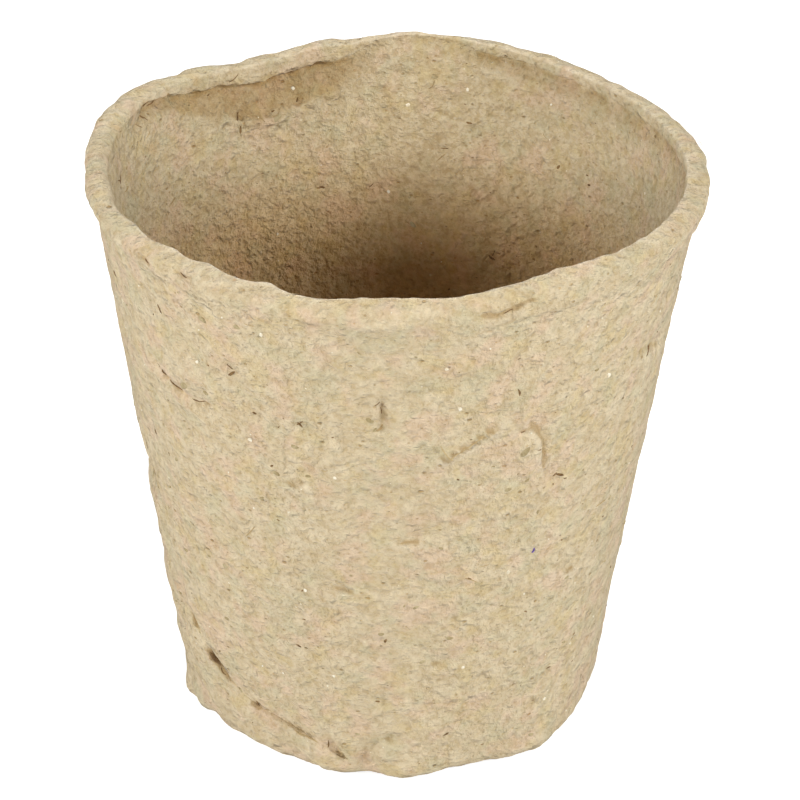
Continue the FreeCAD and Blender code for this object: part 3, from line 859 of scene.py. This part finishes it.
def join(name, master, laid):
    """Copies a shape for every set of points in millimetres, and joins the copies to one piece."""
    copies = []
    for points in laid:
        copy = master.copy()
        copy.data = master.data.copy()
        bpy.context.collection.objects.link(copy)
        write_points(copy, points * mm)
        copies.append(copy)
    bpy.data.objects.remove(master)
    pick(*copies)
    bpy.ops.object.join()
    piece = copies[0]
    piece.name = piece.data.name = name
    face_outward(piece)
    shade_smooth(piece, 50)
    return piece


def somewhere(inside_share=0.3):
    """A random azimuth and height on the wall, and whether it is inside."""
    return rng.uniform(0, 360), rng.uniform(3, 76.5), rng.random() < inside_share


class Wire:
    """A number that changes over a surface. Sums on it add Math nodes."""

    def __init__(self, finish, socket):
        self.finish = finish
        self.socket = socket

    def sum(self, operation, *values):
        return self.finish.add("ShaderNodeMath", {"operation": operation}, dict(enumerate(values)))

    def __add__(self, other):
        return self.sum("ADD", self, other)

    def __radd__(self, other):
        return self.sum("ADD", other, self)

    def __sub__(self, other):
        return self.sum("SUBTRACT", self, other)

    def __rsub__(self, other):
        return self.sum("SUBTRACT", other, self)

    def __mul__(self, other):
        return self.sum("MULTIPLY", self, other)

    def __rmul__(self, other):
        return self.sum("MULTIPLY", other, self)

    def sine(self):
        return self.sum("SINE", self)

    def band(self, low, high):
        """0 below low, 1 above high, smooth between."""
        return self.finish.add(
            "ShaderNodeMapRange", {"interpolation_type": "SMOOTHSTEP", "clamp": True},
            {"Value": self, "From Min": low, "From Max": high},
        )


class Finish:
    """A material, or the studio around the pot, built node by node over a colour."""

    def __init__(self, name, colour=None, kind=bpy.data.materials):
        self.material = kind.new(name)
        self.material.use_nodes = True
        self.tree = self.material.node_tree
        self.tree.nodes.clear()
        self.place = self.sway = None
        self.colour = colour

    def add(self, kind, settings, sockets, output=0):
        """Adds a node: its type, its settings, then the values and wires of its sockets. Gives one output."""
        node = self.tree.nodes.new(kind)
        for name, value in settings.items():
            setattr(node, name, value)
        for name, value in sockets.items():
            if isinstance(value, Wire):
                self.tree.links.new(value.socket, node.inputs[name])
            else:
                node.inputs[name].default_value = value
        return Wire(self, node.outputs[output]) if len(node.outputs) else None

    def other(self, wire, output):
        """Another output of the node that a wire comes from."""
        return Wire(self, wire.socket.node.outputs[output])

    def moved(self, shift=(0, 0, 0), stretch=(1, 1, 1), warp=0):
        """The place on the piece in millimetres, moved, stretched, and warped by some millimetres."""
        scale = tuple(part / mm for part in stretch)
        if not self.place:
            self.place = self.add("ShaderNodeTexCoord", {}, {}, "Object")
        place = self.add("ShaderNodeMapping", {}, {"Vector": self.place, "Location": shift, "Scale": scale})
        if warp and not self.sway:
            sockets = {"Vector": self.moved(), "Scale": 1.1, "Detail": 1.0}
            self.sway = self.add("ShaderNodeTexNoise", {}, sockets, "Color")
        if warp:
            sockets = {0: self.sway, 1: (warp,) * 3, 2: place}
            place = self.add("ShaderNodeVectorMath", {"operation": "MULTIPLY_ADD"}, sockets)
        return place

    def cloud(self, size, shift=0, detail=2, roughness=0.5, stretch=(1, 1, 1)):
        """Noise with lumps of the given size in millimetres, from 0 to 1."""
        place = self.moved((shift, shift * 0.7, shift * 1.3), stretch)
        sockets = {"Vector": place, "Scale": 1 / size, "Detail": detail, "Roughness": roughness}
        return self.add("ShaderNodeTexNoise", {}, sockets)

    def specks(self, spacing, radius, amount, shift, stretch=(1, 1, 1), warp=0):
        """Scattered specks: 1 on a speck. Amount is the share of the cells that have one."""
        place = self.moved((shift, shift * 1.9, shift * 0.4), stretch, warp)
        away = self.add("ShaderNodeTexVoronoi", {}, {"Vector": place, "Scale": 1 / spacing}, "Distance")
        chance = self.add("ShaderNodeSeparateColor", {}, {"Color": self.other(away, "Color")})
        edge = (0.35 + 0.65 * self.other(chance, 1)) * (radius / spacing)
        return (1 - away.band(edge * 0.4, edge)) * (1 - chance.band(amount - 0.004, amount))

    def mix(self, share, a, b, blend="MIX"):
        """Colour a, with a share of colour b."""
        settings = {"data_type": "RGBA", "blend_type": blend}
        return self.add("ShaderNodeMix", settings, {0: share, 6: a, 7: b}, 2)

    def paint(self, share, *tone):
        """Lays a screen colour over a share of the colour so far."""
        self.colour = self.mix(share, self.colour, srgb(*tone))

    def tint(self, share, *factor):
        """Multiplies the colour so far by a factor, for a share of the way."""
        self.colour = self.mix(share, self.colour, (*factor, 1.0), "MULTIPLY")

    def read(self, name):
        """A number that the vertices of the piece carry."""
        return self.add("ShaderNodeAttribute", {"attribute_name": name}, {}, "Fac")

    def seen_straight(self):
        """1 where the camera sees a surface straight, in a mirror or through glass, else 0."""
        ray = self.add("ShaderNodeLightPath", {}, {}, "Is Camera Ray")
        return (ray + self.other(ray, "Is Glossy Ray") + self.other(ray, "Is Transmission Ray")).band(0, 1)

    def close(self, height, depth, roughness, sheen=0.0, diffuse_roughness=0.8):
        """Ends the material: bumps of the given depth in millimetres, and how matte it is."""
        bump = self.add("ShaderNodeBump", {}, {"Strength": 1.0, "Distance": depth * mm, "Height": height})
        shader = self.add("ShaderNodeBsdfPrincipled", {}, {
            "Base Color": self.colour, "Roughness": roughness, "Normal": bump, "Specular IOR Level": 0.25,
            "Sheen Weight": sheen, "Sheen Roughness": 0.6, "Diffuse Roughness": diffuse_roughness,
        })
        self.add("ShaderNodeOutputMaterial", {}, {"Surface": shader})
        return self.material


def srgb(red, green, blue):
    """A colour as a screen shows it, as the linear colour that a socket takes."""
    linear = []
    for part in (red, green, blue):
        part = part / 255
        linear.append(part / 12.92 if part <= 0.04045 else ((part + 0.055) / 1.055) ** 2.4)
    return (*linear, 1.0)


def pulp_finish(name):
    """Peat pulp: beige felt with pink, ochre and grey patches, dark crumbs, pale specks and short dashes."""
    f = Finish(name, srgb(222, 206, 174))
    inside, crevice_shade = f.read("inside"), f.read("crevice_shade")
    recess_shade, edge_highlight = f.read("recess_shade"), f.read("edge_highlight")
    # Patches of other pulp, all about as light
    f.paint(f.cloud(2.6, 3, 3).band(0.38, 0.62), 214, 196, 161)
    f.paint(f.cloud(4.4, 11).band(0.49, 0.66) * 0.5, 227, 199, 172)
    f.paint(f.cloud(3.2, 23).band(0.52, 0.68) * 0.48, 216, 196, 146)
    f.paint(f.cloud(4.0, 37).band(0.51, 0.67) * 0.5, 206, 197, 163)
    # The side that lay on the mould is a little browner; deeper in the cavity it is tinted darker and browner
    # as painted shade, and the wall under the fold gets painted shade
    apart = f.add("ShaderNodeSeparateXYZ", {}, {"Vector": f.moved()})
    across, tall = f.other(apart, 1), f.other(apart, 2)
    f.tint(inside, 0.94, 0.94, 0.92)
    f.tint(inside * (1 - tall.band(48.0, 68.0)), 0.98, 0.84, 0.67)
    f.tint(recess_shade * (0.65 + 0.6 * f.cloud(1.1, 71, 3)), 0.78, 0.69, 0.56)
    # Painted highlight along the lip's inner edge and on the raised edges of ledges
    f.paint(edge_highlight * 0.65, 240, 228, 206)
    # Felt: painted shade in its hollows and a painted highlight on the fibres on top; the shade is stronger
    # inside
    felt = f.cloud(1.1, 17, 3, 0.66, (0.95, 0.95, 1.1))
    fine = f.cloud(0.62, 97, 2, 0.6)
    deeper = 1 + 0.7 * inside
    f.tint((1 - felt.band(0.36, 0.54)) * deeper, 0.9, 0.862, 0.8)
    f.tint(felt.band(0.54, 0.66), 1.06, 1.06, 1.055)
    f.tint((1 - fine.band(0.34, 0.5)) * deeper, 0.935, 0.905, 0.85)
    # Marks: short dashes of painted shadow under flattened crumbs, longer than high, and small pits with
    # painted shade in them
    many = f.cloud(4.5, 87).band(0.3, 0.65)
    dashes = f.specks(2.0, 0.36, 0.36 + 0.24 * many + 0.14 * inside, 83, (0.8, 0.8, 1.35), 0.2)
    pits = f.specks(1.0, 0.24, 0.34 + 0.3 * inside, 89, (0.9, 0.9, 1.1), 0.2)
    flakes = f.specks(3.4, 0.9, 0.5, 107, (0.8, 0.8, 1.1), 1.0)
    brown = f.specks(1.8, 0.23, 0.09 + 0.3 * inside + 0.25 * recess_shade, 5, (0.85, 0.85, 1.15), 0.2)
    olive = f.specks(2.9, 0.36, 0.16, 13, (0.8, 0.8, 1.2), 0.4)
    orange = f.specks(4.5, 0.5, 0.12, 19, (1, 1, 1), 0.4)
    pale = f.specks(1.8, 0.17, 0.24, 29)
    cream = f.specks(2.4, 0.34, 0.16, 113, (0.9, 0.9, 1.1), 0.3)
    f.tint(dashes, 0.8, 0.68, 0.5)
    f.tint(pits * deeper, 0.9, 0.81, 0.68)
    f.paint(olive * 0.4, 164, 148, 104)
    f.paint(orange * 0.4, 204, 152, 98)
    f.paint(brown * 0.55, 128, 98, 62)
    f.paint(cream * 0.5, 240, 230, 202)
    f.paint(pale * 0.85, 246, 240, 222)
    # Painted shade in cracks, creases, hollows and under the fold's torn edge: ochre where faint, dark brown
    # where deep
    f.paint(crevice_shade.band(0.05, 0.45) * 0.6, 166, 134, 80)
    f.paint(crevice_shade.band(0.47, 0.95) * 0.85, 98, 66, 34)
    # Bumps, in millimetres: soft lumps, felted grain, flat flakes, and the print of the mould's mesh inside
    lumps = f.cloud(1.5, 7, 3, 0.55, (0.9, 0.9, 1.1))
    turn = f.add("ShaderNodeMath", {"operation": "ARCTAN2"}, {0: across, 1: apart})
    drift = f.cloud(3.0, 101) * 3.0
    mould = (turn * mesh_columns + drift).sine() * (tall * (2 * math.pi / mesh_spacing) + drift).sine()
    height = lumps * 1.3 + felt * 0.8 + fine * 0.3 + flakes * 0.25 + pale * 0.05
    height = height - dashes * 0.3 - pits * 0.12 - brown * 0.06 - olive * 0.1
    height = height * (1 + 0.2 * inside) + mould * (inside * f.cloud(5.0, 103).band(0.45, 0.6) * 0.05)
    return f.close(height, 1.0, 0.92, sheen=0.06, diffuse_roughness=0.4)


def bit_finish(name, tones, patches, bumps, depth, roughness,
               edges=(0.35, 0.65), streaks=None, streak_edges=(0.45, 0.7)):
    """Matter in the pulp: patches of two colours, streaks of a third over them where asked, and bumps.

    Patches, bumps and streaks are clouds: size, shift, detail, roughness and stretch.
    """
    f = Finish(name, srgb(*tones[0]))
    f.paint(f.cloud(*patches).band(*edges), *tones[1])
    if streaks:
        f.paint(f.cloud(*streaks).band(*streak_edges) * 0.5, *tones[2])
    return f.close(f.cloud(*bumps), depth, roughness)


def floor_finish():
    """Pale floor: white to the camera where it is lit, and darker in the pot's shadow."""
    f = Finish("floor")
    colour = f.mix(f.cloud(90, 5, 3).band(0.3, 0.7), (0.6, 0.595, 0.585, 1), (0.62, 0.617, 0.61, 1))
    lit = f.add("ShaderNodeBsdfDiffuse", {}, {"Color": colour, "Roughness": 0.5})
    glow = f.add("ShaderNodeEmission", {}, {"Color": (1, 1, 1, 1), "Strength": 0.72})
    both = f.add("ShaderNodeAddShader", {}, {0: lit, 1: glow})
    shader = f.add("ShaderNodeMixShader", {}, {0: f.seen_straight(), 1: lit, 2: both})
    f.add("ShaderNodeOutputMaterial", {}, {"Surface": shader})
    return f.material


def dress(piece, material, slot, *nodes):
    """Finish, body and the CAD nodes that a piece stands for. The slot argument is not used."""
    piece.data.materials.clear()
    piece.data.materials.append(material)
    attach(piece, "root")
    if nodes:
        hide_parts(*nodes)


# The moulding and the rolled strip
body = model_pot_body()
strip = model_foot_strip()
surface = Surface(body, strip)
dress(body, pulp_finish("peat_pulp"), "peat_pulp", "side_wall", "base_pan", "rim_lip")
dress(strip, body.data.materials[0], "peat_pulp", "foot_roll")

# Bark: the chips of the CAD, mostly sunk, small splinters between them, and dark ones laid in cracks, which
# darken them as painted shade
chips = []
for *spot, length in islands("bark_chips"):
    wide = rng.uniform(0.28, 0.4)
    chips.append((*spot, rng.gauss(0, 45), (rng.uniform(0.36, 0.5) * length, wide, 0.3), -0.05))
for azimuth, height, turn, long in (
    (154.6, 75.5, 118, 1.5), (152.6, 76.5, 20, 1.1), (150.4, 76.5, 8, 1.5), (113.2, 70.8, 70, 0.8),
    (128.2, 70.6, 60, 0.9), (172.0, 71.6, 150, 1.3),
):
    chips.append((azimuth, height, True, turn, (long, 0.2, 0.2), 0.0))
for _ in range(300):
    spot = somewhere(0.4)
    long = 0.25 + 0.5 * rng.random() ** 2
    chips.append((*spot, rng.gauss(0, 40), (long, long * rng.uniform(0.3, 0.6), 0.2), -0.04))
bark_fibres = (0.35, 2, 3, 0.6, (0.6, 0.6, 1.6))
bark_look = bit_finish("bark", ((104, 78, 50), (146, 116, 76), (168, 140, 96)), bark_fibres,
                       bark_fibres, 0.2, 0.88, streaks=(1.2, 9), streak_edges=(0.5, 0.7))
dress(scatter("bark_splinters", stick(6, 3, 0.6), chips), bark_look, "bark", "bark_chips")

# Dark strands laid in the cracks as their painted shade: azimuth, height, turn, length, radius and curl
inner_cracks = [
    (154.4, 75.6, 128, 2.0, 0.09, 0.5), (152.0, 76.5, 12, 1.7, 0.08, 0.4),
    (156.5, 74.9, 150, 1.2, 0.07, -0.4), (129.0, 76.2, 15, 2.2, 0.07, 0.6),
    (113.0, 70.9, 70, 0.8, 0.09, 0.3), (128.3, 70.5, 40, 1.3, 0.13, 1.2), (79.5, 62.8, -4, 1.4, 0.08, 0.4),
    (65.6, 49.0, 60, 1.3, 0.07, 0.3), (170.8, 71.5, 45, 1.6, 0.08, 0.2), (96.0, 57.2, 30, 0.9, 0.07, 0.3),
]
outer_cracks = [
    (268.1, 62.0, 84, 1.3, 0.07, 0.4), (267.4, 63.3, 30, 0.9, 0.07, 0.3), (217.0, 58.8, -62, 2.6, 0.11, 0.9),
    (221.5, 57.7, -14, 3.2, 0.1, 0.2), (228.0, 57.2, -4, 2.6, 0.08, 0.6), (217.4, 12.6, -34, 1.7, 0.11, 0.1),
    (220.8, 11.0, -48, 1.4, 0.07, 0.2), (232.0, 8.0, -40, 1.0, 0.11, 0.3), (254.8, 5.6, 80, 1.3, 0.1, 0.4),
    (258.0, 3.6, -40, 1.6, 0.08, 0.2), (195.5, 75.5, -14, 1.9, 0.08, 0.2), (203.0, 75.1, -4, 2.2, 0.09, 0.3),
    (210.5, 75.0, 10, 1.2, 0.08, 0.3), (220.4, 76.2, -25, 1.1, 0.09, 0.4),
    (229.8, 76.7, -22, 1.4, 0.08, 0.3), (237.6, 64.8, -25, 1.2, 0.07, 0.3),
    (252.0, 58.8, 24, 1.3, 0.08, 0.6), (297.4, 56.6, -5, 0.9, 0.07, 0.3), (307.5, 47.9, 10, 1.1, 0.08, 0.4),
    (286.5, 7.6, 22, 0.9, 0.13, 0.2), (199.4, 41.2, -72, 2.8, 0.13, 0.3), (290.6, 76.3, 6, 2.0, 0.06, 0.3),
]
cracks = [(azimuth, height, True, *rest, 0.0) for azimuth, height, *rest in inner_cracks]
cracks += [(azimuth, height, False, *rest, 0.0) for azimuth, height, *rest in outer_cracks]
# The dark strands stand for the shade inside the cracks
dress(lay_strands("crack_shade_threads", stick(5, 9, 0.8), cracks), bark_look, "bark")

# Peat crumbs
crumbs = []
for *spot, length in islands("peat_crumbs"):
    crumbs.append((*spot, rng.gauss(0, 30), (0.5 * length, 0.3 * length, 0.5), -0.1))
for _ in range(160):
    spot = somewhere()
    wide = rng.uniform(0.4, 1.1)
    crumbs.append((*spot, rng.gauss(0, 30), (wide, wide * rng.uniform(0.4, 0.7), 0.34), -0.07))
crumb_look = bit_finish("peat_crumb", ((196, 180, 142), (172, 154, 112), (196, 180, 146)), (0.8, 2, 3),
                        (0.4, 17, 4, 0.65), 0.4, 0.93, edges=(0.4, 0.62), streaks=(0.35, 8, 3, 0.7))
dress(scatter("peat_crumb_mounds", pulp_mound(), crumbs), crumb_look, "peat_crumb", "peat_crumbs")

# Straw and long fibres
lines = []
for *spot, length in islands("straw_fibres"):
    lines.append((*spot, rng.gauss(0, 40), 0.6 * length, 0.08, rng.uniform(-0.8, 0.8), 0.0))
lines += [
    (124.0, 70.2, True, 12, 3.2, 0.09, -1.4, 0.15), (119.0, 69.8, True, -10, 2.4, 0.07, 1.2, 0.08),
    (285.6, 56.3, False, 32, 5.6, 0.1, 0.1, 0.0), (268.0, 59.5, False, 10, 1.3, 0.16, 1.6, 0.0),
    (248.0, 5.7, False, -22, 4.2, 0.12, 0.3, 0.0), (274.0, 41.4, False, -10, 2.0, 0.1, 0.5, 0.0),
]
for _ in range(60):
    lines.append((*somewhere(0.4), rng.gauss(0, 45), rng.uniform(0.8, 2.4), rng.uniform(0.035, 0.06),
                  rng.uniform(-1.6, 1.6), rng.uniform(0, 0.04)))
straw_look = bit_finish("straw", ((198, 175, 130), (168, 140, 96), (212, 192, 150)), (2.5, 2),
                        (0.25, 17, 3, 0.65), 0.12, 0.8, streaks=(0.3, 8, 3, 0.7))
dress(lay_strands("straw_strands", stick(5, 9, 0.5), lines), straw_look, "straw", "straw_fibres")

# One dyed fibre of old paper, low on the right
dyed = [(304.0, 36.7, False, 40, 0.8, 0.14, 1.0, 0.0)]
dyed_look = bit_finish("dyed_fibre", ((104, 84, 160), (140, 118, 176)), (0.4, 2), (0.2, 17), 0.05, 0.85)
dress(lay_strands("dyed_fibre", stick(5, 9, 0.5), dyed), dyed_look, "straw")

# Grit
grains = []
for *spot, length in islands("grit_grains"):
    wide = 0.46 * length
    grains.append((*spot, rng.uniform(0, 180), (wide, wide * 0.8, wide * 0.6), 0.0))
for _ in range(260):
    spot = somewhere()
    wide = 0.14 + 0.32 * rng.random() ** 1.5
    grains.append((*spot, rng.uniform(0, 180), (wide, wide * 0.8, wide * 0.6), 0.0))
grit_look = bit_finish("grit", ((246, 240, 224), (230, 218, 190)), (0.5, 2), (0.2, 17), 0.08, 0.45)
dress(scatter("grit_specks", grit_stone(), grains), grit_look, "grit", "grit_grains")

# Hairs on the lip
hairs = []
for azimuth, curl in (
    (289, 4.0), (285, 1.5), (304, -1.5), (270, 1.0), (236, 1.2), (252, -1.0), (312, 2.0), (334, -1.5),
    (12, 1.2), (58, 1.6), (97, -1.2), (141, 1.8), (188, -1.2), (214, 1.4),
):
    inside = 180 < azimuth < 350
    hairs.append((azimuth, 77.2, inside, rng.uniform(20, 60), rng.uniform(1.0, 1.8), 0.03, curl, 0.5))
hair_look = bit_finish("rim_hair", ((214, 196, 160), (176, 150, 108)), (1.5, 2), (0.2, 17), 0.05, 0.8)
dress(lay_strands("rim_hairs", stick(5, 9, 0.7), hairs), hair_look, "straw")

# Floor
pick()
bpy.ops.mesh.primitive_grid_add(x_subdivisions=24, y_subdivisions=24, size=3.0, location=(0, 0.2, -0.02 * mm))
floor = bpy.context.object
floor.name = "floor"
bpy.ops.object.transform_apply(location=True, rotation=True, scale=True)
floor.data.materials.append(floor_finish())

# Camera
camera_elevation = math.radians(30.18)
camera_roll = math.radians(1.24)
camera_distance = 450 * mm
camera_target = Vector((1.05, 0, 42.5)) * mm
focal_pixels, frame_pixels = 3374, 800
back = Vector((0, -math.cos(camera_elevation), math.sin(camera_elevation)))
level = Vector((1, 0, 0))
upright = back.cross(level)
right = level * math.cos(camera_roll) + upright * math.sin(camera_roll)
up = upright * math.cos(camera_roll) - level * math.sin(camera_roll)
pick()
bpy.ops.object.camera_add()
camera = bpy.context.object
camera.name = "camera"
camera.data.sensor_width = 36
camera.data.lens = 36 * focal_pixels / frame_pixels
camera.data.clip_start = 0.01
camera.data.clip_end = 10
aimed = Matrix((right, up, back)).transposed().to_4x4()
aimed.translation = camera_target + back * camera_distance
camera.matrix_world = aimed
bpy.context.scene.camera = camera


def soft_box(name, azimuth, elevation, width, height, power):
    """A softbox that faces the middle of the pot."""
    pick()
    bpy.ops.object.light_add(type="AREA")
    lamp = bpy.context.object
    lamp.name = name
    lamp.data.shape = "RECTANGLE"
    lamp.data.size = width
    lamp.data.size_y = height
    lamp.data.energy = power
    middle = Vector((0, 0, 0.045))
    a, e = math.radians(azimuth), math.radians(elevation)
    towards = Vector((math.cos(a) * math.cos(e), math.sin(a) * math.cos(e), math.sin(e)))
    lamp.location = middle + towards * light_distance
    lamp.rotation_euler = towards.to_track_quat("Z", "Y").to_euler()


# Plain studio light: a low, narrow key in front, boxes at the sides, weaker ones behind and above
light_distance = 0.9
soft_box("front_box", 268, 20, 0.45, 0.2, 4.3)
soft_box("left_box", 202, 26, 0.35, 0.3, 4.1)
soft_box("right_box", 338, 32, 0.35, 0.3, 4.6)
soft_box("rear_box", 90, 18, 0.6, 0.3, 1.15)
soft_box("top_box", 90, 60, 0.5, 0.4, 2.2)

# White studio to the camera, nearly dark to the pot
studio = Finish("studio", kind=bpy.data.worlds)
low = studio.add("ShaderNodeBackground", {}, {"Color": (1, 1, 1, 1), "Strength": 0.06})
white = studio.add("ShaderNodeBackground", {}, {"Color": (1, 1, 1, 1), "Strength": 1.0})
mixed = studio.add("ShaderNodeMixShader", {}, {0: studio.seen_straight(), 1: low, 2: white})
studio.add("ShaderNodeOutputWorld", {}, {"Surface": mixed})
bpy.context.scene.world = studio.material

bpy.context.scene.view_settings.view_transform = "Standard"
